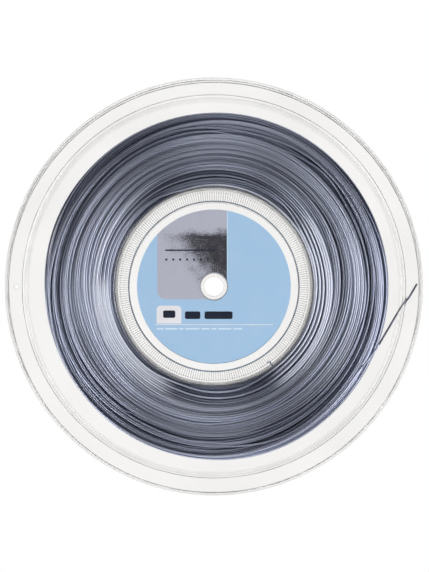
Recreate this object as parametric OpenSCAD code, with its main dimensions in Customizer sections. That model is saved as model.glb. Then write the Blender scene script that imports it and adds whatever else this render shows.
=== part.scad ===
// String reel: two clear flanges on a drum and a bore tube, a round label on each
// side, and one long string wound on the drum with its free end through a rim hole.
// The reel lies flat. Z is the bore axis, and the front flange is on top.

/* [Reel] */
// Outer radius of both flanges
reel_r = 130; // [126:0.5:134]
// Overall width of the reel, from rim face to rim face
reel_w = 26; // [24:0.5:30]
// Thickness of the clear mouldings
wall = 1.5; // [1.2:0.1:1.8]

/* [Rim] */
// Radius at which the raised rim face begins
rim_r = 119; // [118:0.5:119]
// Height of the rim face above the flat of the flange
rim_rise = 2.2; // [2:0.1:2.4]
// Width of the lip that turns inwards at the edge
lip_w = 1.6; // [1.2:0.1:2]
// Depth of that lip below the inner face of the rim
lip_depth = 1.2; // [0.6:0.1:1.6]

/* [String holes] */
// Radius of the two holes in each rim that park a string end
string_hole_r = 1.6; // [1.4:0.1:1.6]
// Distance of the free hole from the bore axis, on the -X side
free_hole_at = 122.8; // [122:0.1:124]
// Distance of the hole in use from the bore axis
used_hole_at = 120.6; // [120.6:0.1:122]
// Angle of the hole in use, anticlockwise from +X
used_hole_angle = -3.9; // [-6:0.1:-3]

/* [Drum] */
// Outer radius of the drum
drum_r = 61.1; // [60.5:0.1:62]
// Wall thickness of the drum
drum_wall = 1.3; // [1:0.1:1.5]
// Width of the slot that holds the inner end of the string
slot_w = 1.8; // [1.6:0.1:2.4]
// Depth of that slot from the front end of the drum
slot_depth = 6; // [4:0.5:9]
// Angle of the slot, anticlockwise from +X
slot_angle = -53.7; // [-60:0.1:-45]

/* [Hub] */
// Radius of the bore that the reel turns on
bore_r = 6; // [5:0.1:6.5]
// Outer radius of the collar round the bore
collar_r = 8.6; // [8.2:0.1:8.6]
// Outer radius of the bore tube between the flanges
tube_r = 8.2; // [7.6:0.1:8.2]
// Radius of the round seat that the label is stuck in
seat_r = 52.5; // [51:0.5:54]
// Depth of that seat below the flat of the flange
seat_depth = 0.8; // [0.6:0.1:1]

/* [Labels] */
// Outer radius of each label
label_r = 47.8; // [44:0.1:48]
// Radius of the hole in each label
label_hole_r = 8.8; // [8.7:0.1:9.5]
// Thickness of each label
label_t = 0.2; // [0.1:0.05:0.3]

/* [String] */
// Diameter of the string
string_d = 1.3; // [1.1:0.05:1.4]
// Outer radius of the wound string
winding_r = 109; // [80:0.5:109]

/* [Hidden] */

$fn = 192;

// Heights are measured from the middle plane of the reel, which each flange mirrors.
mid_z = reel_w / 2;
rim_top = reel_w / 2;
rim_in = rim_top - wall;
flat_top = rim_top - rim_rise;
flat_in = flat_top - wall;
seat_top = flat_top - seat_depth;
seat_in = seat_top - wall;

// The flat runs into the rim by a concave arc that stops at the rim's corner.
step_start = rim_r - 4.2;
step_run = rim_r - step_start;
step_turn = 2 * atan2(rim_rise, step_run);
step_r = step_run / sin(step_turn);
step_inner_r = step_r + wall;
step_inner_turn = acos((step_r - rim_rise + wall) / step_inner_r);
arc_steps = 6;

// The rounded outer corner of the rim.
edge_r = 0.8;

// Each flange holds the drum between a ring inside it and a fillet round it.
fit_gap = 0.05;
ring_w = 1.4;
ring_depth = 2;
fillet_r = 2.7;
drum_in = drum_r - drum_wall;
ring_out = drum_in - fit_gap;
fillet_in = drum_r + fit_gap;

// The web under the label is set down from the flat by a short slope.
web_slope = 0.8;

// The ring on each web that holds the end of the bore tube.
socket_in = tube_r + fit_gap;
socket_out = socket_in + 1.5;

// The string is kept this far from the clear parts.
clear = 0.2;
winding_h = flat_in - clear;
winding_in = drum_r + clear;
winding_bevel = fillet_r + 0.9;
winding_crown = 0.8;

// Where the inner end of the string passes through the drum.
start_h = flat_in - slot_depth / 2;
start_in = drum_in - 2.2;

// The free end leaves the winding, rises through the hole in use and ends bare.
tail_route = [
    [102.6, -36.2, 19.6],
    [105.5, -31.2, 20.4],
    [109.0, -25.3, 21.0],
    [112.5, -19.3, 21.3],
    [115.8, -13.9, 21.5],
    [117.8, -11.1, 22.0],
    [119.2, -9.5, 23.2],
    [120.3, -8.2, 25.1],
    [121.4, -6.5, 27.0],
    [123.2, -3.5, 28.0],
    [126.0, 1.3, 28.8]
];
tail_sides = 8;
tail_parts = 3;

// Points (radius, height) of an arc about a centre on the outer side of the flange.
function step_arc(r, turn, steps) = [
    for (i = [0:steps])
        let (a = turn * i / steps)
            [step_start + r * sin(a), flat_top + step_r - r * cos(a)]
];

function reversed(points) = [for (i = [len(points) - 1:-1:0]) points[i]];

// Half section of a flange, from the bore out over the front and back along the inside.
function flange_section() = concat(
    [
        [bore_r, seat_in],
        [bore_r, flat_top],
        [collar_r, flat_top],
        [collar_r, seat_top],
        [seat_r, seat_top],
        [seat_r, flat_top]
    ],
    step_arc(step_r, step_turn, arc_steps),
    [
        for (a = [90:-30:0])
            [reel_r - edge_r + edge_r * cos(a), rim_top - edge_r + edge_r * sin(a)]
    ],
    [
        [reel_r, rim_in - lip_depth],
        [reel_r - lip_w, rim_in - lip_depth],
        [reel_r - lip_w, rim_in]
    ],
    reversed(step_arc(step_inner_r, step_inner_turn, arc_steps)),
    [
        for (a = [0:15:75])
            [fillet_in + fillet_r * (1 - sin(a)), flat_in - fillet_r * (1 - cos(a))]
    ],
    [
        [fillet_in, flat_in - fillet_r],
        [fillet_in, flat_in],
        [ring_out, flat_in],
        [ring_out, flat_in - ring_depth],
        [ring_out - ring_w, flat_in - ring_depth],
        [ring_out - ring_w, flat_in],
        [seat_r + web_slope, flat_in],
        [seat_r, seat_in],
        [socket_out, seat_in],
        [socket_out, seat_in - ring_depth],
        [socket_in, seat_in - ring_depth],
        [socket_in, seat_in]
    ]
);

module string_hole(at, angle) {
    rotate(angle)
        translate([at, 0, rim_in - 1])
            cylinder(r = string_hole_r, h = wall + 2);
}

module flange() {
    difference() {
        rotate_extrude() polygon(flange_section());
        string_hole(free_hole_at, 180);
        string_hole(used_hole_at, used_hole_angle);
    }
}

module front_flange() {
    color([0.88, 0.9, 0.92, 0.35])
        translate([0, 0, mid_z]) flange();
}

module rear_flange() {
    color([0.88, 0.9, 0.92, 0.35])
        translate([0, 0, mid_z]) mirror([0, 0, 1]) flange();
}

module drum() {
    color([0.82, 0.85, 0.9, 0.5])
        translate([0, 0, mid_z])
            difference() {
                translate([0, 0, -flat_in]) cylinder(r = drum_r, h = 2 * flat_in);
                translate([0, 0, -flat_in - 1]) cylinder(r = drum_in, h = 2 * flat_in + 2);
                rotate(slot_angle)
                    translate([drum_in - 1, -slot_w / 2, flat_in - slot_depth])
                        cube([drum_wall + 2, slot_w, slot_depth + 1]);
            }
}

module hub_tube() {
    color([0.82, 0.85, 0.9, 0.5])
        translate([0, 0, mid_z - seat_in])
            difference() {
                cylinder(r = tube_r, h = 2 * seat_in);
                translate([0, 0, -1]) cylinder(r = bore_r, h = 2 * seat_in + 2);
            }
}

module label() {
    difference() {
        cylinder(r = label_r, h = label_t);
        translate([0, 0, -1]) cylinder(r = label_hole_r, h = label_t + 2);
    }
}

module front_label() {
    color([0.66, 0.79, 0.9])
        translate([0, 0, mid_z + seat_top]) label();
}

module rear_label() {
    color([0.66, 0.79, 0.9])
        translate([0, 0, mid_z - seat_top - label_t]) label();
}

module string_winding() {
    color([0.4, 0.42, 0.52])
        translate([0, 0, mid_z])
            rotate_extrude()
                polygon([
                    [winding_in, winding_bevel - winding_h],
                    [winding_in + winding_bevel, -winding_h],
                    [winding_r - winding_crown, -winding_h],
                    [winding_r, 2 * winding_crown - winding_h],
                    [winding_r, winding_h - 2 * winding_crown],
                    [winding_r - winding_crown, winding_h],
                    [winding_in + winding_bevel, winding_h],
                    [winding_in, winding_h - winding_bevel]
                ]);
}

module string_start() {
    color([0.4, 0.42, 0.52])
        rotate(slot_angle)
            translate([start_in, 0, mid_z + start_h])
                rotate([0, 90, 0])
                    cylinder(d = string_d, h = winding_in - start_in);
}

// A point on the smooth curve through a route, and the curve's direction there.
function route_point(route, i) = route[max(0, min(len(route) - 1, i))];

function curve_point(route, i, t) =
    let (
        a = route_point(route, i - 1),
        b = route_point(route, i),
        c = route_point(route, i + 1),
        d = route_point(route, i + 2)
    )
    b + t * (c - a) / 2 + t * t * (a - 2.5 * b + 2 * c - d / 2)
        + t * t * t * (1.5 * (b - c) + (d - a) / 2);

function curve(route, parts) = concat(
    [
        for (i = [0:len(route) - 2], k = [0:parts - 1])
            curve_point(route, i, k / parts)
    ],
    [route[len(route) - 1]]
);

function direction(points, i) =
    let (
        low = points[max(0, i - 1)],
        high = points[min(len(points) - 1, i + 1)]
    )
    (high - low) / norm(high - low);

// A closed tube of the given diameter along a list of points.
module tube_along(points, d, sides) {
    rings = len(points);
    corners = [
        for (i = [0:rings - 1])
            let (
                along = direction(points, i),
                across = cross(along, [0, 0, 1]),
                side = across / norm(across),
                up = cross(side, along)
            )
            for (k = [0:sides - 1])
                let (a = 360 * k / sides)
                    points[i] + d / 2 * (cos(a) * side + sin(a) * up)
    ];
    walls = [
        for (i = [0:rings - 2], k = [0:sides - 1])
            let (n = (k + 1) % sides)
                [i * sides + k, i * sides + n, (i + 1) * sides + n, (i + 1) * sides + k]
    ];
    first = [for (k = [sides - 1:-1:0]) k];
    last = [for (k = [0:sides - 1]) (rings - 1) * sides + k];
    polyhedron(corners, concat([first], walls, [last]));
}

module string_tail() {
    color([0.25, 0.26, 0.33])
        tube_along(curve(tail_route, tail_parts), string_d, tail_sides);
}

front_flange();
rear_flange();
drum();
hub_tube();
front_label();
rear_label();
string_winding();
string_start();
string_tail();
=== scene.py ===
"""Looks of a string reel: clear mouldings, printed labels and one long wound string.

Everything is in metres, in the reel's own frame: Z is the bore axis, the reel lies on the
floor with its front flange and front label on top, and +Y is the top of the front label.
"""

import math

import bmesh
import bpy
import numpy as np
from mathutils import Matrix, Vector


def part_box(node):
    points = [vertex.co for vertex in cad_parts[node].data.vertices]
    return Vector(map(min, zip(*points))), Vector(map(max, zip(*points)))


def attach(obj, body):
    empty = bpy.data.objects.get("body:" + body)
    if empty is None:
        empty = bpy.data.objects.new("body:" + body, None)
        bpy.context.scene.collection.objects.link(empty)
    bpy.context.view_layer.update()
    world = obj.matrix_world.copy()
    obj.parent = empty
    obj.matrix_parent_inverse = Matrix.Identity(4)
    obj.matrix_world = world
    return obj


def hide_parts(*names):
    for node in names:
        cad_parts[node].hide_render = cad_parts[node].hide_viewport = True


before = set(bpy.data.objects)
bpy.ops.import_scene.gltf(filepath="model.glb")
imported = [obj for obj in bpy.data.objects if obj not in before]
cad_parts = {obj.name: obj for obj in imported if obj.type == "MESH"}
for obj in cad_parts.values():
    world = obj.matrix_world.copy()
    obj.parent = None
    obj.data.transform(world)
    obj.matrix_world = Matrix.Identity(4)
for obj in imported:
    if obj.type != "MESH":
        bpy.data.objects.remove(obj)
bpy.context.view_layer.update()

MM = 0.001
TURN = 2 * math.pi


# ---------------------------------------------------------------- sizes


def reach_of(node):
    """Outer radius, lowest point and highest point of a round CAD node."""
    low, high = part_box(node)
    return round(high.x, 5), round(low.z, 5), round(high.z, 5)


REEL_R, _, FRONT_FACE = reach_of("front_flange")
DRUM_R, _, DRUM_HIGH = reach_of("drum")
TUBE_R, _, TUBE_HIGH = reach_of("hub_tube")
LABEL_R, LABEL_LOW, LABEL_HIGH = reach_of("front_label")
MID_Z = FRONT_FACE / 2

# Heights named here are measured from the middle plane, which the two flanges mirror.
WALL = 1.5 * MM
RIM_TOP = FRONT_FACE - MID_Z
RIM_IN = RIM_TOP - WALL
FLAT_IN = DRUM_HIGH - MID_Z
FLAT_TOP = FLAT_IN + WALL
SEAT_TOP = LABEL_LOW - MID_Z
SEAT_IN = TUBE_HIGH - MID_Z

RIM_R = 119.0 * MM
STEP_START = 114.8 * MM
LIP_W = 1.6 * MM
LIP_END = RIM_IN - 1.2 * MM
DRAFT = 0.1 * MM

DRUM_IN = DRUM_R - 1.3 * MM
SLOT_ANGLE = math.radians(-53.7)
SLOT_W = 1.8 * MM
SLOT_FLOOR = FLAT_IN - 6.0 * MM
FIT_GAP = 0.05 * MM
FILLET_R = 2.7 * MM
RING_W = 1.4 * MM
RING_DEPTH = 2.0 * MM

BORE_R = 6.0 * MM
COLLAR_R = 8.6 * MM
SEAT_R = 52.5 * MM
LABEL_HOLE_R = 8.8 * MM

RIB_COUNT = 250
RIB_COLUMNS = 4
RIB_FROM = SEAT_R + 0.45 * MM
RIB_TO = 59.1 * MM
RIB_DEPTH = 0.25 * MM
# Painted shade along the bottom of each rib groove.
RIB_DARK = 0.3

# Distance from the bore axis, angle and radius of each string hole.
STRING_HOLES = (
    (122.8 * MM, math.pi, 1.6 * MM),
    (120.95 * MM, math.radians(-3.9), 1.6 * MM),
)

STRING_R = 0.65 * MM
WOUND_R = 109.0 * MM

TAIL_ROUTE = (
    (102.6, -36.2, 19.6),
    (105.5, -31.2, 20.4),
    (109.0, -25.3, 21.0),
    (112.5, -19.3, 21.3),
    (115.8, -13.9, 21.5),
    (117.8, -11.1, 22.0),
    (119.2, -9.5, 23.2),
    (120.3, -8.2, 25.1),
    (121.4, -6.5, 27.0),
    (123.2, -3.5, 28.0),
    (126.0, 1.3, 28.8),
)


# ---------------------------------------------------------------- camera

CAMERA_DISTANCE = 4.2
CAMERA_TILT = math.radians(1.7)
VIEW_HEIGHT = 355.2 * MM
AIM = Vector((0.37 * MM, 0.12 * MM, FRONT_FACE))

camera_data = bpy.data.cameras.new("camera")
camera_data.sensor_width = 36.0
camera_data.lens = 36.0 * CAMERA_DISTANCE / VIEW_HEIGHT
camera_data.clip_end = 50
camera = bpy.data.objects.new("camera", camera_data)
bpy.context.scene.collection.objects.link(camera)
towards = Vector((0, -math.sin(CAMERA_TILT), math.cos(CAMERA_TILT)))
camera.location = AIM + CAMERA_DISTANCE * towards
camera.rotation_euler = (CAMERA_TILT, 0, 0)
bpy.context.scene.camera = camera
bpy.context.scene.view_settings.view_transform = "Standard"


# ---------------------------------------------------------------- meshes


def add_mesh(name, points, face_sets, material, tidy_normals=False):
    """A smooth mesh object from points and arrays of faces, one array for each corner count."""
    points = np.asarray(points, float)
    mesh = bpy.data.meshes.new(name)
    mesh.vertices.add(len(points))
    mesh.vertices.foreach_set("co", points.ravel())
    corners = np.concatenate([np.asarray(faces, int).ravel() for faces in face_sets])
    sizes = np.concatenate([np.full(len(faces), len(faces[0])) for faces in face_sets])
    mesh.loops.add(len(corners))
    mesh.loops.foreach_set("vertex_index", corners)
    mesh.polygons.add(len(sizes))
    mesh.polygons.foreach_set("loop_start", np.concatenate([[0], np.cumsum(sizes)[:-1]]))
    mesh.update(calc_edges=True)
    mesh.validate()
    if tidy_normals:
        work = bmesh.new()
        work.from_mesh(mesh)
        bmesh.ops.recalc_face_normals(work, faces=work.faces)
        work.to_mesh(mesh)
        work.free()
    mesh.shade_smooth()
    mesh.materials.append(material)
    piece = bpy.data.objects.new(name, mesh)
    bpy.context.scene.collection.objects.link(piece)
    return piece


def set_attribute(piece, name, values):
    """Stores one number for each vertex."""
    attribute = piece.data.attributes.new(name, "FLOAT", "POINT")
    attribute.data.foreach_set("value", np.asarray(values, np.float32))


def rounded_outline(corners, steps=5):
    """Rounds a closed outline of (radius, height, rounding, darkness) corners.

    Gives the points, the darkness of each, which is painted shade on the clear mouldings, and the
    first and last point of every corner.
    """
    points, dark, spans = [], [], []
    count = len(corners)
    for i, (r, h, rounding, darkness) in enumerate(corners):
        here = np.array([r, h])
        first_index = len(points)
        if rounding <= 0:
            points.append(here)
            dark.append(darkness)
            spans.append((first_index, first_index))
            continue
        before = np.array(corners[i - 1][:2]) - here
        after = np.array(corners[(i + 1) % count][:2]) - here
        before_length, after_length = np.linalg.norm(before), np.linalg.norm(after)
        before, after = before / before_length, after / after_length
        half = math.acos(max(-1, min(1, float(before @ after)))) / 2
        reach = min(rounding / math.tan(half), 0.48 * before_length, 0.48 * after_length)
        radius = reach * math.tan(half)
        middle = here + (before + after) / np.linalg.norm(before + after) * radius / math.sin(half)
        first, last = here + before * reach - middle, here + after * reach - middle
        a = math.atan2(first[1], first[0])
        turn = (math.atan2(last[1], last[0]) - a + math.pi) % TURN - math.pi
        for k in range(steps + 1):
            b = a + turn * k / steps
            points.append(middle + radius * np.array([math.cos(b), math.sin(b)]))
            dark.append(darkness * min(1, 1.7 * math.sin(math.pi * k / steps)))
        spans.append((first_index, len(points) - 1))
    return np.array(points), np.array(dark), spans


def with_borders(points, dark, spans, border=0.18 * MM):
    """Adds points close to both ends of every long straight side of an outline.

    They keep the shading of the flat faces flat, right up to the curves beside them.
    """
    new_points, new_dark, moved = [], [], []
    for i, here in enumerate(points):
        ahead = points[(i + 1) % len(points)]
        moved.append(len(new_points))
        new_points.append(here)
        new_dark.append(dark[i])
        side = ahead - here
        length = np.linalg.norm(side)
        if length > 6 * border:
            new_points += [here + side * border / length, ahead - side * border / length]
            new_dark += [0.0, 0.0]
    spans = [(moved[first], moved[last]) for first, last in spans]
    return np.array(new_points), np.array(new_dark), spans


def ring_points(outline, angles, sink=None):
    """Points of an outline turned through the given angles, one row for each outline point."""
    r = np.repeat(outline[:, 0][:, None], len(angles), 1)
    h = np.repeat(outline[:, 1][:, None], len(angles), 1)
    if sink is not None:
        h = h - sink
    return np.stack([r * np.cos(angles), r * np.sin(angles), MID_Z + h], -1)


def ring_faces(rows, columns, first=0, row_loop=True, column_loop=True):
    """Quads between neighbouring rows and columns of a grid of points."""
    i = np.arange(rows if row_loop else rows - 1)[:, None]
    k = np.arange(columns if column_loop else columns - 1)[None, :]
    i2, k2 = (i + 1) % rows, (k + 1) % columns
    quads = [i * columns + k, i2 * columns + k, i2 * columns + k2, i * columns + k2]
    return first + np.stack(quads, -1)


def revolve(name, corners, segments, material):
    """A closed round piece from the corners of its half section."""
    outline, dark, _ = with_borders(*rounded_outline(corners))
    angles = np.arange(segments) * TURN / segments
    points = ring_points(outline, angles)
    faces = ring_faces(len(outline), segments).reshape(-1, 4)
    piece = add_mesh(name, points.reshape(-1, 3), [faces], material, tidy_normals=True)
    set_attribute(piece, "edge", np.repeat(dark, segments))
    return piece


def join_loops(outer, outer_angles, inner, inner_angles):
    """Triangles that fill the flat space between two loops, both in rising order of angle."""
    triangles = []
    i = k = 0
    while i < len(outer) or k < len(inner):
        next_outer = outer_angles[i + 1] if i + 1 < len(outer) else outer_angles[0] + TURN
        next_inner = inner_angles[k + 1] if k + 1 < len(inner) else inner_angles[0] + TURN
        here_o, here_i = outer[i % len(outer)], inner[k % len(inner)]
        if k >= len(inner) or (i < len(outer) and next_outer <= next_inner):
            triangles.append((here_o, outer[(i + 1) % len(outer)], here_i))
            i += 1
        else:
            triangles.append((here_o, inner[(k + 1) % len(inner)], here_i))
            k += 1
    return triangles


def curve_through(route, parts):
    """Points along a smooth curve through every point of a route."""
    route = np.asarray(route, float)
    ends = np.concatenate([route[:1], route, route[-1:]])
    t = (np.arange(parts) / parts)[:, None]
    pieces = []
    for i in range(len(route) - 1):
        a, b, c, d = ends[i:i + 4]
        slope = (c - a) / 2
        pieces.append(
            b + t * slope + t**2 * (a - 2.5 * b + 2 * c - d / 2)
            + t**3 * (1.5 * (b - c) + (d - a) / 2)
        )
    return np.concatenate([*pieces, route[-1:]])


def string_tube(name, path, sides, material, cut=0.12 * MM):
    """A closed tube along a path, with a UV map of metres along it and shares round it."""
    path = np.asarray(path, float)
    along = np.gradient(path, axis=0)
    along /= np.linalg.norm(along, axis=1)[:, None]
    first, last = path[0] - along[0] * cut, path[-1] + along[-1] * cut
    path = np.concatenate([[first], path, [last]])
    along = np.concatenate([along[:1], along, along[-1:]])
    width = np.full(len(path), STRING_R)
    width[[0, -1]] = STRING_R - cut
    side = np.cross(along, [0.0, 0.0, 1.0])
    side /= np.linalg.norm(side, axis=1)[:, None]
    up = np.cross(side, along)
    a = np.arange(sides) * TURN / sides
    round_it = np.cos(a)[None, :, None] * side[:, None] + np.sin(a)[None, :, None] * up[:, None]
    points = path[:, None] + width[:, None, None] * round_it
    count = len(path)
    walls = ring_faces(count, sides, row_loop=False).reshape(-1, 4)
    half = sides // 2
    j = np.arange(half - 1)
    cap = np.stack([j, j + 1, sides - 2 - j, sides - 1 - j], -1)
    caps = np.concatenate([cap, (count - 1) * sides + cap[:, ::-1]])
    piece = add_mesh(name, points.reshape(-1, 3), [np.concatenate([walls, caps])], material)
    steps = np.linalg.norm(np.diff(path, axis=0), axis=1)
    place = np.concatenate([[0.0], np.cumsum(steps)])
    corners = np.zeros((len(walls) + len(caps), 4, 2))
    here, ahead = place[:-1], place[1:]
    corners[: len(walls), :, 0] = np.repeat(np.stack([here, ahead, ahead, here], -1), sides, 0)
    k = np.arange(sides)
    shares = np.stack([k, k, k + 1, k + 1], -1) / sides
    corners[: len(walls), :, 1] = np.tile(shares, (count - 1, 1))
    corners[-len(cap):, :, 0] = place[-1]
    piece.data.uv_layers.new(name="string").data.foreach_set("uv", corners.ravel())
    return piece


def plate(name, outline, low, high, material):
    """A thin flat piece with upright sides, from an outline of (x, y) points."""
    count = len(outline)
    points = [(x, y, z) for z in (low, high) for x, y in outline]
    sides = [(i, (i + 1) % count, count + (i + 1) % count, count + i) for i in range(count)]
    caps = [tuple(range(count - 1, -1, -1)), tuple(range(count, 2 * count))]
    piece = add_mesh(name, points, [sides, caps], material, tidy_normals=True)
    piece.data.shade_flat()
    return piece


def box_outline(x0, x1, y0, y1, radii=(0, 0, 0, 0), steps=8):
    """A box with rounded corners, in millimetres, from its lower left corner anticlockwise."""
    turns = ((x0, y0, 1, 1, 180), (x1, y0, -1, 1, 270), (x1, y1, -1, -1, 0), (x0, y1, 1, -1, 90))
    points = []
    for (x, y, dx, dy, start), radius in zip(turns, radii):
        if not radius:
            points.append((x * MM, y * MM))
            continue
        for k in range(steps + 1):
            a = math.radians(start + 90 * k / steps)
            cx, cy = x + dx * radius, y + dy * radius
            points.append(((cx + radius * math.cos(a)) * MM, (cy + radius * math.sin(a)) * MM))
    return points


# ---------------------------------------------------------------- materials


class Nodes:
    """A short way to build the node tree of a material."""

    def __init__(self, name):
        self.material = bpy.data.materials.new(name)
        self.material.use_nodes = True
        self.tree = self.material.node_tree
        self.tree.nodes.clear()
        self.output = self.tree.nodes.new("ShaderNodeOutputMaterial")

    def put(self, socket, value):
        if isinstance(value, bpy.types.NodeSocket):
            self.tree.links.new(value, socket)
        elif isinstance(value, bpy.types.Node):
            self.tree.links.new(value.outputs[0], socket)
        else:
            socket.default_value = value

    def add(self, kind, inputs=None, **settings):
        node = self.tree.nodes.new("ShaderNode" + kind)
        for key, value in settings.items():
            setattr(node, key, value)
        for key, value in (inputs or {}).items():
            self.put(node.inputs[key], value)
        return node

    def math(self, operation, *values):
        node = self.add("Math", operation=operation)
        for socket, value in zip(node.inputs, values):
            self.put(socket, value)
        return node.outputs[0]

    def mix(self, factor, a, b):
        node = self.add("Mix", data_type="RGBA")
        self.put(node.inputs[0], factor)
        self.put(node.inputs[6], a)
        self.put(node.inputs[7], b)
        return node.outputs[2]

    def ramp(self, value, low, high, start=0.0, end=1.0):
        inputs = {0: value, 1: start, 2: end, 3: low, 4: high}
        return self.add("MapRange", inputs).outputs[0]

    def noise(self, vector, scale, detail=2.0, roughness=0.5):
        inputs = {"Vector": vector, "Scale": scale, "Detail": detail, "Roughness": roughness}
        return self.add("TexNoise", inputs).outputs["Fac"]

    def bump(self, height, strength, distance):
        return self.add("Bump", {"Height": height, "Strength": strength, "Distance": distance})

    def place(self):
        return self.add("TexCoord").outputs["Object"]

    def finish(self, shader):
        self.put(self.output.inputs["Surface"], shader.outputs[0])
        return self.material


def clear_plastic(name, clear, dark):
    """Clear moulded polystyrene, with painted shade: sharp corners, marked on the mesh, get a dark,
    less clear colour that reads as fine dark lines.

    Shadow and reflection rays pass almost straight through it, so that the lamps reach the
    string and labels behind it.
    """
    n = Nodes(name)
    place = n.place()
    flow = n.noise(place, 28.0, 0.0)
    bump = n.bump(flow, 0.015, 0.0001)
    # Painted shade: the edge attribute darkens the colour and lowers the clearness along corners,
    # ribs and hole walls.
    edge = n.add("Attribute", attribute_name="edge").outputs["Fac"]
    uneven = n.math("MULTIPLY", edge, n.ramp(n.noise(place, 90.0), 0.75, 1.25, 0.3, 0.7))
    haze = n.ramp(flow, 0.0, 0.025, 0.35, 0.75)
    colour = n.mix(n.math("ADD", uneven, haze), clear, dark)
    see_through = n.ramp(uneven, 1.0, 0.1)
    glass = n.add(
        "BsdfPrincipled",
        {
            "Base Color": colour,
            "Roughness": 0.0,
            "IOR": 1.4,
            "Transmission Weight": see_through,
            "Specular Tint": (0.4, 0.4, 0.4, 1),
            "Normal": bump,
        },
    )
    open_way = n.add("BsdfTransparent", {"Color": (0.965, 0.963, 0.96, 1)})
    rays = n.add("LightPath").outputs
    shader = glass
    for kind in ("Is Reflection Ray", "Is Shadow Ray"):
        shader = n.add("MixShader", {0: rays[kind], 1: shader, 2: open_way})
    return n.finish(shader)


# Painted highlight: the pale colour the string is drawn in where it lies close under the front
# flange.
PAINTED_STRING_HIGHLIGHT = (0.84, 0.88, 1.0, 1)


def string_material(name, dark, light):
    """Metallic blue-grey monofilament, with fine draw lines along it, slow changes of tone and a
    painted highlight.
    """
    n = Nodes(name)
    uv = n.add("UVMap", uv_map="string").outputs[0]
    lengthways = n.add("Mapping", {"Vector": uv, "Scale": (12.0, 7.0, 1.0)})
    lines = n.noise(lengthways, 1.0, 3.0)
    slow = n.noise(n.add("Mapping", {"Vector": uv, "Scale": (2.6, 0.0, 1.0)}), 1.0, 2.0)
    tone = n.ramp(slow, 0.0, 1.0, 0.37, 0.63)
    tone = n.math("ADD", n.math("MULTIPLY", tone, 0.85), n.math("MULTIPLY", lines, 0.15))
    contact = n.add("Attribute", attribute_name="contact").outputs["Fac"]
    # Painted highlight: the contact mask turns the colour pale blue-white and the surface rougher
    # where the string lies close under the flange.
    colour = n.mix(n.math("MULTIPLY", contact, 0.85), n.mix(tone, dark, light), PAINTED_STRING_HIGHLIGHT)
    shader = n.add(
        "BsdfPrincipled",
        {
            "Base Color": colour,
            "Metallic": 0.85,
            "Roughness": n.math("ADD", n.ramp(lines, 0.28, 0.36), n.math("MULTIPLY", contact, 0.2)),
            "IOR": 1.5,
            "Coat Weight": 0.2,
            "Coat Roughness": 0.2,
            "Normal": n.bump(lines, 0.05, 0.00003),
        },
    )
    return n.finish(shader)


def paper(name, colour, shade, roughness=0.45):
    """Printed label paper: an even ink with faint mottling and a fine grain."""
    n = Nodes(name)
    place = n.place()
    cloud = n.noise(place, 70.0, 4.0, 0.6)
    grain = n.noise(place, 2400.0, 2.0)
    tone = n.math("ADD", n.math("MULTIPLY", cloud, 0.7), n.math("MULTIPLY", grain, 0.3))
    shader = n.add(
        "BsdfPrincipled",
        {
            "Base Color": n.mix(n.ramp(tone, 0.0, 1.0, 0.3, 0.7), colour, shade),
            "Roughness": n.ramp(grain, roughness - 0.05, roughness + 0.08),
            "IOR": 1.45,
            "Normal": n.bump(grain, 0.1, 0.00002),
        },
    )
    return n.finish(shader)


def smoke_print():
    """The silver panel, with a dark smoky blot that breaks up into grain at its edge."""
    n = Nodes("silver_print")
    place = n.place()
    flat = n.add("Mapping", {"Vector": place, "Scale": (1000.0, 1000.0, 0.0)})
    warp = n.add("TexNoise", {"Vector": flat, "Scale": 0.09, "Detail": 4.0}).outputs["Color"]
    shift = n.add("VectorMath", {0: warp, 1: (0.5, 0.5, 0.5)}, operation="SUBTRACT")
    shift = n.add("VectorMath", {0: shift, "Scale": 9.0}, operation="SCALE")
    bent = n.add("VectorMath", {0: flat, 1: shift}, operation="ADD")
    parts = n.add("SeparateXYZ", {0: bent}).outputs
    slant = n.math("ADD", parts["X"], n.math("MULTIPLY", parts["Y"], 0.75))
    across = n.ramp(slant, 0.0, 1.0, -12.0, 14.0)
    top = n.ramp(parts["Y"], 1.0, 0.0, 31.5, 37.0)
    mass = n.math("MULTIPLY", across, top)
    cloud = n.noise(flat, 0.16, 5.0, 0.6)
    mass = n.math("ADD", mass, n.ramp(cloud, -0.22, 0.22, 0.3, 0.7))
    specks = n.ramp(n.noise(flat, 1.5, 4.0, 0.7), -0.45, 0.45, 0.3, 0.7)
    ink = n.ramp(n.math("ADD", mass, specks), 0.0, 0.96, 0.2, 0.85)
    grain = n.noise(place, 2400.0, 2.0)
    silver = n.mix(n.ramp(cloud, 0.0, 1.0, 0.3, 0.7), (0.43, 0.44, 0.53, 1), (0.48, 0.49, 0.57, 1))
    dark = n.mix(grain, (0.010, 0.009, 0.013, 1), (0.028, 0.027, 0.034, 1))
    shader = n.add(
        "BsdfPrincipled",
        {
            "Base Color": n.mix(ink, silver, dark),
            "Roughness": n.ramp(ink, 0.38, 0.5),
            "IOR": 1.45,
            "Normal": n.bump(grain, 0.1, 0.00002),
        },
    )
    return n.finish(shader)


CLEAR = clear_plastic("clear_moulding", (0.98, 0.976, 0.97, 1), (0.03, 0.025, 0.025, 1))
STRING = string_material("wound_string", (0.075, 0.085, 0.135, 1), (0.64, 0.69, 0.87, 1))
FREE_STRING = string_material("free_string", (0.08, 0.08, 0.11, 1), (0.25, 0.26, 0.33, 1))
BLUE = paper("blue_print", (0.36, 0.555, 0.775, 1), (0.39, 0.58, 0.80, 1))
PALE_BLUE = paper("pale_blue_print", (0.60, 0.76, 0.90, 1), (0.66, 0.80, 0.92, 1))
SILVER = smoke_print()
WHITE = paper("white_print", (0.76, 0.76, 0.80, 1), (0.82, 0.82, 0.85, 1))
NAVY = paper("navy_print", (0.012, 0.016, 0.03, 1), (0.02, 0.025, 0.045, 1), 0.35)


# ---------------------------------------------------------------- clear mouldings


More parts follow.
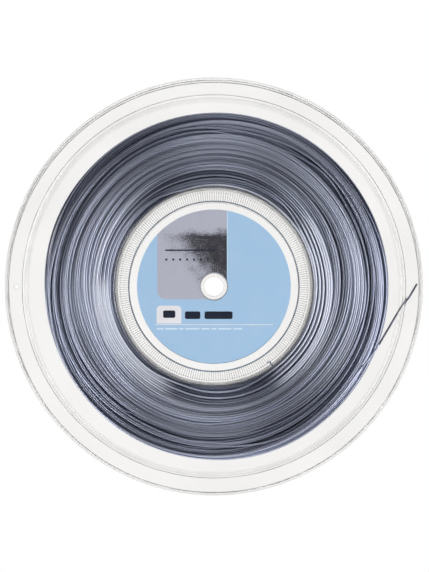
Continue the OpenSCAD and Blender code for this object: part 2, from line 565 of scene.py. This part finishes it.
def arc(middle, radius, start, end, steps, dark=0.0):
    """Outline corners along an arc, between two angles in radians."""
    out = []
    for k in range(steps + 1):
        a = start + (end - start) * k / steps
        r, h = middle[0] + radius * math.cos(a), middle[1] + radius * math.sin(a)
        out.append((r, h, 0, dark * math.sin(math.pi * k / steps)))
    return out


def flange_corners():
    """Half section of the front flange, and where the flat faces of its rim begin and end."""
    rise = RIM_TOP - FLAT_TOP
    turn = 2 * math.atan2(rise, RIM_R - STEP_START)
    step_r = (RIM_R - STEP_START) / math.sin(turn)
    middle = (STEP_START, FLAT_TOP + step_r)
    down = -math.pi / 2
    inner_turn = math.acos((middle[1] - RIM_IN) / (step_r + WALL))
    outside, inside = DRUM_R + FIT_GAP, DRUM_IN - FIT_GAP
    bend = (outside + FILLET_R, FLAT_IN - FILLET_R)
    socket_in = TUBE_R + FIT_GAP
    socket_out = socket_in + 1.5 * MM
    hair = 0.02 * MM
    small, tiny = 0.3 * MM, 0.14 * MM
    low = SEAT_IN + hair
    # The last number of each corner is painted shade: a dark line in the clear plastic at that
    # corner.
    corners = [
        (BORE_R, low, tiny, 0.05),
        (BORE_R, FLAT_TOP, tiny, 0.3),
        (COLLAR_R, FLAT_TOP, 0.06 * MM, 0),
        (COLLAR_R, SEAT_TOP, 0, 0),
        (SEAT_R, SEAT_TOP, tiny, 0.2),
        (SEAT_R, FLAT_TOP, small, 0.7),
        (RIB_FROM, FLAT_TOP, 0, 0),
        (RIB_FROM + 0.2 * MM, FLAT_TOP, 0, 0),
        (RIB_TO - 0.2 * MM, FLAT_TOP, 0, 0),
        (RIB_TO, FLAT_TOP, 0, 0),
    ]
    ribs = (7, 8)
    corners += arc(middle, step_r, down, down + turn, 12, 0.12)[:-1]
    rim_start = len(corners)
    corners += [
        (RIM_R, RIM_TOP, 0.75 * MM, 1.0),
        (REEL_R - DRAFT, RIM_TOP, 0.8 * MM, 0.15),
        (REEL_R, LIP_END, 0.25 * MM, 0.35),
        (REEL_R - LIP_W, LIP_END, 0.25 * MM, 0.5),
        (REEL_R - LIP_W - DRAFT, RIM_IN, 0.5 * MM, 0.75),
    ]
    corners += arc(middle, step_r + WALL, down + inner_turn, down, 10)
    corners += arc(bend, FILLET_R, math.pi / 2, math.pi, 8)
    corners += [
        (outside, FLAT_IN, 0, 0),
        (inside, FLAT_IN, 0, 0),
        (inside, FLAT_IN - RING_DEPTH, tiny, 0.3),
        (inside - RING_W, FLAT_IN - RING_DEPTH, tiny, 0.15),
        (inside - RING_W, FLAT_IN, tiny, 0.1),
        (SEAT_R + 0.8 * MM, FLAT_IN, tiny, 0.05),
        (SEAT_R, low, tiny, 0.1),
        (socket_out, low, tiny, 0),
        (socket_out, low - RING_DEPTH, tiny, 0.05),
        (socket_in, low - RING_DEPTH, tiny, 0.05),
        (socket_in, low, 0, 0),
    ]
    return corners, ribs, (rim_start, rim_start + 4)


def make_flange(name, mirrored):
    """A clear flange with 250 fine ribs and two string holes through its rim."""
    corners, ribs, (rim, lip) = flange_corners()
    outline, dark, spans = with_borders(*rounded_outline(corners))
    columns = RIB_COUNT * RIB_COLUMNS
    angles = (np.arange(columns) - 0.5) * TURN / columns
    sink = np.zeros((len(outline), columns))
    shade = np.repeat(dark[:, None], columns, 1)
    along_ribs = slice(spans[ribs[0]][0], spans[ribs[1]][0] + 1)
    sink[along_ribs, 2::RIB_COLUMNS] = RIB_DEPTH
    shade[along_ribs, 2::RIB_COLUMNS] = RIB_DARK
    points = ring_points(outline, angles, sink).reshape(-1, 3)
    quads = ring_faces(len(outline), columns)
    keep = np.ones(quads.shape[:2], bool)
    outer_face, inner_face = spans[rim][1] + 1, spans[lip][1] + 1
    extra, walls, triangles = [], [], []
    sides, half_width = 48, 11
    bevel, border = 0.1 * MM, 0.14 * MM
    for away, angle, radius in STRING_HOLES:
        middle = np.array([away * math.cos(angle), away * math.sin(angle)])
        centre = round(angle / TURN * columns + 0.5)
        span = np.arange(centre - half_width, centre + half_width + 1) % columns
        first = len(points) + len(extra)
        round_it = np.arange(sides) * TURN / sides
        levels = (
            (radius + border, RIM_TOP),
            (radius + bevel, RIM_TOP),
            (radius, RIM_TOP - bevel),
            (radius, RIM_IN + bevel),
            (radius + bevel, RIM_IN),
            (radius + border, RIM_IN),
        )
        for r, h in levels:
            for a in round_it:
                x, y = middle + r * np.array([math.cos(a), math.sin(a)])
                extra.append((x, y, MID_Z + h))
        walls.append(ring_faces(6, sides, first, row_loop=False).reshape(-1, 4))
        for row, level in ((outer_face, 0), (inner_face, 5)):
            keep[row, span[:-1]] = False
            loop = np.concatenate([row * columns + span, (row + 1) * columns + span[::-1]])
            away_from = points[loop, :2] - middle
            turned = np.arctan2(away_from[:, 1], away_from[:, 0]) % TURN
            order = np.argsort(turned)
            ring = first + level * sides + np.arange(sides)
            triangles += join_loops(loop[order], turned[order], ring, round_it)
    points = np.concatenate([points, extra])
    if mirrored:
        points[:, 2] = 2 * MID_Z - points[:, 2]
    faces = np.concatenate([quads[keep], *walls])
    piece = add_mesh(name, points, [faces, triangles], CLEAR, tidy_normals=True)
    # Painted shade round the bevelled walls of the string holes.
    hole_dark = np.tile(np.repeat([0, 0.5, 0.6, 0.5, 0.4, 0], sides), len(STRING_HOLES))
    set_attribute(piece, "edge", np.concatenate([shade.ravel(), hole_dark]))
    return piece


def make_drum():
    """The clear drum, with the slot in its front end that holds the string's inner end."""
    gap = 0.03 * MM
    low, high = -FLAT_IN + gap, FLAT_IN - gap
    half = SLOT_W / 2 / DRUM_R
    tall = np.linspace(SLOT_ANGLE + half, SLOT_ANGLE - half + TURN, 720)
    short = np.linspace(SLOT_ANGLE - half, SLOT_ANGLE + half, 7)[1:-1]
    r0, r1, c = DRUM_IN, DRUM_R, 0.12 * MM
    outline = np.array([
        (r0, low + c), (r0, SLOT_FLOOR), (r0, high - c), (r0 + c, high),
        (r1 - c, high), (r1, high - c), (r1, SLOT_FLOOR), (r1, low + c),
        (r1 - c, low), (r0 + c, low),
    ])
    # Painted shade at the drum's corners, one number for each outline point.
    dark = np.array([0.5, 0, 0.85, 0.5, 0.3, 0.6, 0, 0.4, 0.2, 0.3])
    under = [0, 1, 6, 7, 8, 9]
    a = ring_points(outline, tall)
    b = ring_points(outline[under], short)
    faces = ring_faces(len(outline), len(tall), column_loop=False).reshape(-1, 4).tolist()
    start = len(outline) * len(tall)
    faces += ring_faces(len(under), len(short), start, column_loop=False).reshape(-1, 4).tolist()

    def at_tall(row, column):
        return row * len(tall) + column % len(tall)

    def at_short(row, column):
        return start + row * len(short) + column % len(short)

    for k in range(len(under)):
        k2 = (k + 1) % len(under)
        row, row2 = under[k], under[k2]
        faces.append((at_tall(row, -1), at_short(k, 0), at_short(k2, 0), at_tall(row2, -1)))
        faces.append((at_short(k, -1), at_tall(row, 0), at_tall(row2, 0), at_short(k2, -1)))
    ends = [[at_tall(row, column) for row in range(1, 7)] for column in (0, -1)]
    points = np.concatenate([a.reshape(-1, 3), b.reshape(-1, 3)])
    piece = add_mesh("drum_moulding", points, [faces, ends], CLEAR, tidy_normals=True)
    shades = np.concatenate([np.repeat(dark, len(tall)), np.repeat(dark[under], len(short))])
    set_attribute(piece, "edge", shades)
    return piece


front_flange = make_flange("front_moulding", False)
rear_flange = make_flange("rear_moulding", True)
drum = make_drum()
# The last number of each corner is a faint painted shade.
hub_tube = revolve(
    "bore_tube_moulding",
    [
        (BORE_R, -SEAT_IN, 0.06 * MM, 0.05),
        (BORE_R, SEAT_IN, 0.06 * MM, 0.05),
        (TUBE_R, SEAT_IN, 0.06 * MM, 0.05),
        (TUBE_R, -SEAT_IN, 0.06 * MM, 0.05),
    ],
    144,
    CLEAR,
)


# ---------------------------------------------------------------- the wound string

# Points in each turn, turns in all, and corners of the string's section.
SLICES = 120
TURNS = 374
WOUND_SIDES = 6
# How far along the drum the string is led in one turn.
PITCH = 1.6 * MM
# Distance kept between the middles of turns that cross, and of turns side by side. Both are
# less than the string's thickness, so that turns overlap a little and all fit in WOUND_R.
CROSSING = 0.935 * MM
BESIDE = 1.27 * MM
# Room between the string and a flange, and the greatest height of the string's middle.
FLANGE_ROOM = 0.1 * MM
HIGHEST = FLAT_IN - STRING_R - FLANGE_ROOM
# How far turns stand off each other, turns between loose loops, and millimetres these rise.
LOOSENESS = 0.08 * MM
LOOP_EVERY = 6
LOOP_RISE = 1.5
# The most turns spent at the rear flange, and the most millimetres short of it.
REAR_STAY = 0.3
REAR_DEPTH = 2.4
# A stay at the front flange of more turns than this lays the bright level sheet.
SHEET_STAY = 5
# Depth below the flange at which the painted highlight, and the extra roughness, of string near it
# have faded out.
HIGHLIGHT_FADE_DEPTH = 0.6 * MM
LAYING_SEED = 7
RIPPLE_SEED = 11
# Turns spent at the front flange, and millimetres short of it, from the drum outwards.
FRONT_VISITS = (
    (0.2, 1.5), (0.2, 2.0), (0.3, 1.6), (6.2, 0.0), (0.0, 3.4), (1.0, 0.0), (0.0, 3.0), (1.0, 0.0),
    (1.4, 0.0), (0.0, 3.4), (0.4, 0.4), (0.0, 3.6), (1.6, 0.0), (0.0, 3.0), (1.0, 0.0), (0.0, 3.0),
    (1.2, 0.0), (0.0, 4.0), (0.0, 6.5), (0.0, 9.0),
)
# Middle and half width of the two arcs where the bright sheet is pressed to the flange.
PRESSED_ARCS = ((-10, 60), (212, 48))
# Outer radius of that sheet.
SHEET_R = 76.0 * MM
# How far the loose winding sits off centre, and how oval it is, at its outside.
OFF_CENTRE = 1.0 * MM
OFF_CENTRE_AT = math.radians(-15)
OVAL = 0.5 * MM
OVAL_AT = math.radians(55)
START_ANGLE = SLOT_ANGLE + math.radians(6)
END_ANGLE = math.radians(-30.5)


def smooth_noise(rng, count, spacing, amount):
    """Random values that change smoothly, about one wave every `spacing` samples."""
    knots = rng.normal(0, amount, int(count / spacing) + 4)
    at = np.arange(count) / spacing + 1
    i = at.astype(int)
    t = at - i
    a, b, c, d = knots[i - 1], knots[i], knots[i + 1], knots[i + 2]
    return b + 0.5 * t * (c - a + t * (2 * a - 5 * b + 4 * c - d + t * (3 * (b - c) + d - a)))


def pressed(angle):
    """How firmly the level sheet of string is pressed to the flange at each angle, 0 to 1."""
    share = np.zeros(len(angle))
    for middle, half in PRESSED_ARCS:
        off = (angle - math.radians(middle) + math.pi) % TURN - math.pi
        near_it = np.clip((math.radians(half) - np.abs(off)) / math.radians(22), 0, 1)
        share = np.maximum(share, near_it * near_it * (3 - 2 * near_it))
    return share


def traverse(rng, count, reach):
    """Height of the string as it is led from flange to flange and back, turn after turn.

    At some front reversals it stays at the flange for a few turns, which lie there as a
    bright level sheet. At the ones that follow it turns back early, which leaves a dark dip.
    """
    height = np.zeros(count)
    start, level, front, visit = 0, 6.2 * MM, True, 0
    while start < count:
        if front:
            stay, depth = FRONT_VISITS[visit % len(FRONT_VISITS)]
            goal = reach - depth * MM - abs(rng.normal(0, 0.1 * MM))
            visit += 1
        else:
            stay, depth = rng.uniform(0, REAR_STAY), rng.uniform(0, REAR_DEPTH)
            goal = depth * MM - reach
        turns = abs(goal - level) / (PITCH * rng.uniform(0.85, 1.2))
        steps = max(2, int(turns * SLICES))
        t = np.arange(min(steps, count - start)) / steps
        eased = 0.85 * t + 0.15 * (1 - np.cos(math.pi * t)) / 2
        height[start:start + len(t)] = level + (goal - level) * eased
        start += steps
        hold = max(0, min(int(stay * SLICES), count - start))
        sway = np.abs(smooth_noise(rng, hold, SLICES * 0.5, 0.2 * MM))
        ease = np.minimum(1, np.minimum(np.arange(hold), hold - np.arange(hold)) / (0.2 * SLICES))
        if stay > SHEET_STAY:
            angle = START_ANGLE + (start + np.arange(hold)) * TURN / SLICES
            sway = 0.3 * sway + 0.9 * MM * (1 - pressed(angle))
        height[start:start + hold] = goal - np.sign(goal) * sway * ease
        start += hold
        level, front = goal, not front
    t = np.clip((np.arange(count) - count + 2.2 * SLICES) / (2.2 * SLICES), 0, 1)
    t = t * t * (3 - 2 * t)
    return height * (1 - t) + 5.6 * MM * t


def slack(rng, count):
    """How far the string stands off what it is laid on: a little everywhere, more in loose loops."""
    out = np.abs(smooth_noise(rng, count, SLICES * 0.45, LOOSENESS))
    angle = START_ANGLE + np.arange(count) * TURN / SLICES
    start = 0
    while start < count:
        start += int(rng.exponential(LOOP_EVERY * SLICES))
        turns = rng.uniform(0.8, 3.2)
        end = min(count, start + int(turns * SLICES))
        middle, wide = rng.uniform(0, TURN), math.radians(rng.uniform(50, 110))
        off = (angle[start:end] - middle + math.pi) % TURN - math.pi
        rise = np.cos(np.clip(off / wide, -1, 1) * math.pi / 2) ** 2
        out[start:end] += rise * rng.uniform(0.3, LOOP_RISE) * MM
    return out


def lowest_radius(height):
    """Smallest radius that the string's middle can have: on the drum or on a flange's fillet."""
    on_drum = DRUM_R + 0.03 * MM + STRING_R
    room = FILLET_R - STRING_R
    over = np.clip(np.abs(height) - (FLAT_IN - FILLET_R), 0, room)
    bend = DRUM_R + FIT_GAP + FILLET_R
    return np.maximum(on_drum, bend - np.sqrt(room * room - over * over))


def wind(turns, rng):
    """Radius and height of the string's middle at each slice, laid turn on turn.

    Each stretch lies on what is under it, is held up by the highest support nearby, and
    takes a smooth line over it, as a stiff string under light tension does.
    """
    count = int(turns * SLICES) + 1
    height = traverse(rng, count, HIGHEST)
    loose = slack(rng, count)
    slope = np.abs(np.gradient(height)) * SLICES
    touch = CROSSING + (BESIDE - CROSSING) * np.clip(1 - slope / (0.5 * MM), 0, 1)
    radius = np.zeros(count)
    window, near, block = 5, 2, SLICES // 4
    kernel = np.hanning(2 * window + 3)[1:-1]
    kernel /= kernel.sum()
    for start in range(0, count, block):
        low = max(0, start - window - near)
        high = min(count, start + block + window + near)
        at = np.arange(low, high)
        laid = at[:, None] - SLICES * np.arange(1, low // SLICES + 2)[None, :]
        known = (laid >= 0) & (laid < start)
        laid = np.where(known, laid, 0)
        apart = np.abs(height[laid] - height[at][:, None])
        gap = touch[at][:, None]
        over = radius[laid] + np.sqrt(np.maximum(gap**2 - apart**2, 0))
        over = np.where(known & (apart < gap), over, 0)
        best = np.maximum(lowest_radius(height[at]), over.max(1, initial=0))
        raised = best.copy()
        for shift in range(1, near + 1):
            raised[shift:] = np.maximum(raised[shift:], best[:-shift])
            raised[:-shift] = np.maximum(raised[:-shift], best[shift:])
        eased = np.convolve(np.pad(raised, window, mode="edge"), kernel, "valid")
        end = min(count, start + block)
        radius[start:end] = (eased + loose[at])[start - low:end - low]
    return radius, height


def settled(radius, angle):
    """Lets the winding relax into the slightly uneven outline of loose, springy string.

    It sits a little off centre, is a little oval, and has small random ripples round it.
    """
    rng = np.random.default_rng(RIPPLE_SEED)
    share = np.clip((radius - DRUM_R) / (WOUND_R - DRUM_R), 0, 1) ** 1.3
    wave = OFF_CENTRE * np.cos(angle - OFF_CENTRE_AT) + OVAL * np.cos(2 * (angle - OVAL_AT))
    for lobes in (3, 4, 5, 6):
        height, phase = rng.uniform(0.1, 0.3) * MM, rng.uniform(0, TURN)
        wave = wave + height * np.cos(lobes * angle + phase)
    return radius + share * wave


def winding_path():
    """Middle line of the wound string, from the drum's slot to where its free end leaves."""
    rng = np.random.default_rng(LAYING_SEED)
    turns = TURNS + (END_ANGLE - START_ANGLE) / TURN
    radius, height = wind(turns, rng)
    angle = START_ANGLE + np.arange(len(radius)) * TURN / SLICES
    radius = settled(radius, angle)
    path = np.stack([radius * np.cos(angle), radius * np.sin(angle), MID_Z + height], -1)
    end = np.array(TAIL_ROUTE[0]) * MM
    end_slope = (np.array(TAIL_ROUTE[1]) - TAIL_ROUTE[0]) * MM
    end_slope /= np.linalg.norm(end_slope)
    slope = path[-1] - path[-2]
    slope /= np.linalg.norm(slope)
    far = np.linalg.norm(end - path[-1])
    t = np.linspace(0, 1, 13)[1:, None]
    lead = (
        (2 * t**3 - 3 * t**2 + 1) * path[-1]
        + (t**3 - 2 * t**2 + t) * slope * far
        + (3 * t**2 - 2 * t**3) * end
        + (t**3 - t**2) * end_slope * far
    )
    return np.concatenate([path, lead])


wound_path = winding_path()
winding = string_tube("wound_string", wound_path, WOUND_SIDES, STRING)
# Painted highlight: string close under the front flange, most of all inside the bright sheet, is
# marked to be drawn paler.
below = HIGHEST - (wound_path[:, 2] - MID_Z)
out_from_axis = np.hypot(wound_path[:, 0], wound_path[:, 1])
in_sheet = np.clip((SHEET_R - out_from_axis) / (1.5 * MM), 0, 1)
contact = np.clip(1 - below / HIGHLIGHT_FADE_DEPTH, 0, 1) * (0.2 + 0.8 * in_sheet)
contact = np.concatenate([[0.0], contact, [0.0]])
set_attribute(winding, "contact", np.repeat(contact, WOUND_SIDES))


def at_slot(degrees, r, h):
    a = SLOT_ANGLE + math.radians(degrees)
    return (r * math.cos(a) * MM, r * math.sin(a) * MM, MID_Z + h * MM)


start_route = [
    at_slot(-0.9, 57.4, 6.5),
    at_slot(-0.1, 58.6, 6.4),
    at_slot(0.0, 59.9, 6.3),
    at_slot(0.1, 61.1, 6.3),
    at_slot(1.2, 62.0, 6.2),
    at_slot(3.4, 61.95, 6.2),
    tuple(wound_path[0]),
]
string_start = string_tube("inner_string_end", curve_through(start_route, 6), 8, STRING)

tail_path = curve_through(np.array(TAIL_ROUTE) * MM, 6)
string_tail = string_tube("free_string_end", tail_path, 12, FREE_STRING)


# ---------------------------------------------------------------- labels


def make_label(name, low, high, material):
    edge = 0.05 * MM
    corners = [
        (LABEL_HOLE_R, low - MID_Z, edge, 0),
        (LABEL_HOLE_R, high - MID_Z, edge, 0),
        (LABEL_R, high - MID_Z, edge, 0),
        (LABEL_R, low - MID_Z, edge, 0),
    ]
    return revolve(name, corners, 240, material)


INK = 0.012 * MM
front_label = make_label("front_label_paper", LABEL_LOW, LABEL_HIGH - 2 * INK, BLUE)
rear_label = make_label("rear_label_paper", 2 * MID_Z - LABEL_HIGH, 2 * MID_Z - LABEL_LOW, BLUE)
print_low = LABEL_HIGH - 2 * INK


def on_disc(x0, x1, y0, radius, hole, steps=40):
    """Outline of a panel whose top follows the label's edge and which goes round its hole."""
    corner = 4.8
    points = []
    for k in range(9):
        a = math.radians(180 + 90 * k / 8)
        points.append((x0 + corner + corner * math.cos(a), y0 + corner + corner * math.sin(a)))
    a0 = math.atan2(y0, -math.sqrt(hole**2 - y0**2)) + TURN
    a1 = math.acos(x1 / hole)
    for k in range(steps + 1):
        a = a0 + (a1 - a0) * k / steps
        points.append((hole * math.cos(a), hole * math.sin(a)))
    b0, b1 = math.acos(x1 / radius), math.acos(x0 / radius)
    for k in range(steps + 1):
        b = b0 + (b1 - b0) * k / steps
        points.append((radius * math.cos(b), radius * math.sin(b)))
    return [(x * MM, y * MM) for x, y in points]


panel = plate(
    "silver_panel", on_disc(-35.2, 8.1, -8.0, 47.7, 8.85), print_low, print_low + INK, SILVER
)


def row_of_blocks(start, widths, gap, y0, y1, corner):
    """Outlines of plain blocks set side by side."""
    out, x = [], start
    for width in widths:
        out.append(box_outline(x, x + width, y0, y1, (corner,) * 4, 3))
        x += width + gap
    return out


prints = [
    ("pale_tag", [box_outline(-35.6, -20.2, -23.1, -12.0, (0, 0, 2.6, 2.6))], WHITE, 0),
    ("pale_line", [box_outline(-36.6, 36.7, -24.05, -23.6)], WHITE, 0),
    ("panel_edge_line", [box_outline(8.1, 8.5, 5.2, 46.8)], PALE_BLUE, 0),
    ("dark_bars", row_of_blocks(-18.0, (9.6, 17.4), 2.6, -20.3, -15.6, 1.0), NAVY, 0),
    ("tag_bar", row_of_blocks(-31.6, (7.6,), 0, -19.6, -15.0, 1.0), NAVY, 1),
    ("panel_bars", [box_outline(-30.4, 2.0, 22.0, 22.9, (0.4,) * 4, 3)]
     + row_of_blocks(-30.2, (1.3,) * 8, 3.0, 16.0, 17.3, 0.3), NAVY, 1),
    ("pale_marks", row_of_blocks(-35.4, (4.2, 7.4, 2.6, 9.0, 5.2, 3.1, 8.2, 5.6), 1.1, -26.9,
                                 -25.9, 0.2), PALE_BLUE, 0),
]
print_pieces = [panel]
for print_name, outlines, ink, layer in prints:
    low_side = print_low + layer * INK
    for number, outline in enumerate(outlines):
        piece_name = print_name + "_" + str(number + 1)
        print_pieces.append(plate(piece_name, outline, low_side, low_side + INK, ink))


# ---------------------------------------------------------------- join to the frame

stands_for = (
    (front_flange, "front_flange", "clear_plastic"),
    (rear_flange, "rear_flange", "clear_plastic"),
    (drum, "drum", "clear_plastic"),
    (hub_tube, "hub_tube", "clear_plastic"),
    (front_label, "front_label", "printed_paper"),
    (rear_label, "rear_label", "printed_paper"),
    (winding, "string_winding", "string"),
    (string_start, "string_start", "string"),
    (string_tail, "string_tail", "string"),
)
for piece, node, slot in stands_for:
    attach(piece, "root")
    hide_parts(node)
for piece in print_pieces:
    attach(piece, "root")


# ---------------------------------------------------------------- floor and light


def floor_material():
    """A plain white that lights itself, like the photo's background. It takes no shadow."""
    n = Nodes("floor")
    return n.finish(n.add("Emission", {"Color": (1, 1, 1, 1), "Strength": 1.0}))


FLOOR_REACH = 8.0
FLOOR_DROP = 0.0003
floor = add_mesh(
    "floor",
    [(x * FLOOR_REACH, y * FLOOR_REACH, 0) for x, y in ((-1, -1), (1, -1), (1, 1), (-1, 1))],
    [[(0, 1, 2, 3)]],
    floor_material(),
)
floor.location.z = -FLOOR_DROP


def softbox(name, azimuth, elevation, distance, size, radiance):
    """A large soft lamp that faces the reel."""
    data = bpy.data.lights.new(name, "AREA")
    data.shape = "RECTANGLE"
    data.size, data.size_y = size
    data.energy = radiance * math.pi * size[0] * size[1]
    lamp = bpy.data.objects.new(name, data)
    bpy.context.scene.collection.objects.link(lamp)
    a, e = math.radians(azimuth), math.radians(elevation)
    away = Vector((math.cos(a) * math.cos(e), math.sin(a) * math.cos(e), math.sin(e)))
    lamp.location = distance * away
    lamp.rotation_euler = away.to_track_quat("Z", "Y").to_euler()


softbox("softbox_right", -9, 35, 1.7, (1.5, 0.8), 6.5)
softbox("softbox_left", 203, 35, 1.7, (1.5, 0.8), 4.8)
softbox("softbox_top", 85, 38, 2.0, (1.0, 0.6), 2.4)
softbox("softbox_bottom", 270, 38, 2.0, (1.0, 0.6), 2.4)

world = bpy.data.worlds.new("studio")
world.use_nodes = True
sky = world.node_tree
towards_sky = sky.nodes.new("ShaderNodeTexCoord")
split = sky.nodes.new("ShaderNodeSeparateXYZ")
fade = sky.nodes.new("ShaderNodeMapRange")
fade.interpolation_type = "SMOOTHSTEP"
fade.inputs["From Min"].default_value = 0.05
fade.inputs["From Max"].default_value = 0.6
fade.inputs["To Min"].default_value = 0.5
fade.inputs["To Max"].default_value = 0.05
sky.links.new(towards_sky.outputs["Generated"], split.inputs[0])
sky.links.new(split.outputs["Z"], fade.inputs["Value"])
sky.links.new(fade.outputs[0], sky.nodes["Background"].inputs["Strength"])
sky.nodes["Background"].inputs["Color"].default_value = (1.0, 1.0, 0.99, 1)
bpy.context.scene.world = world
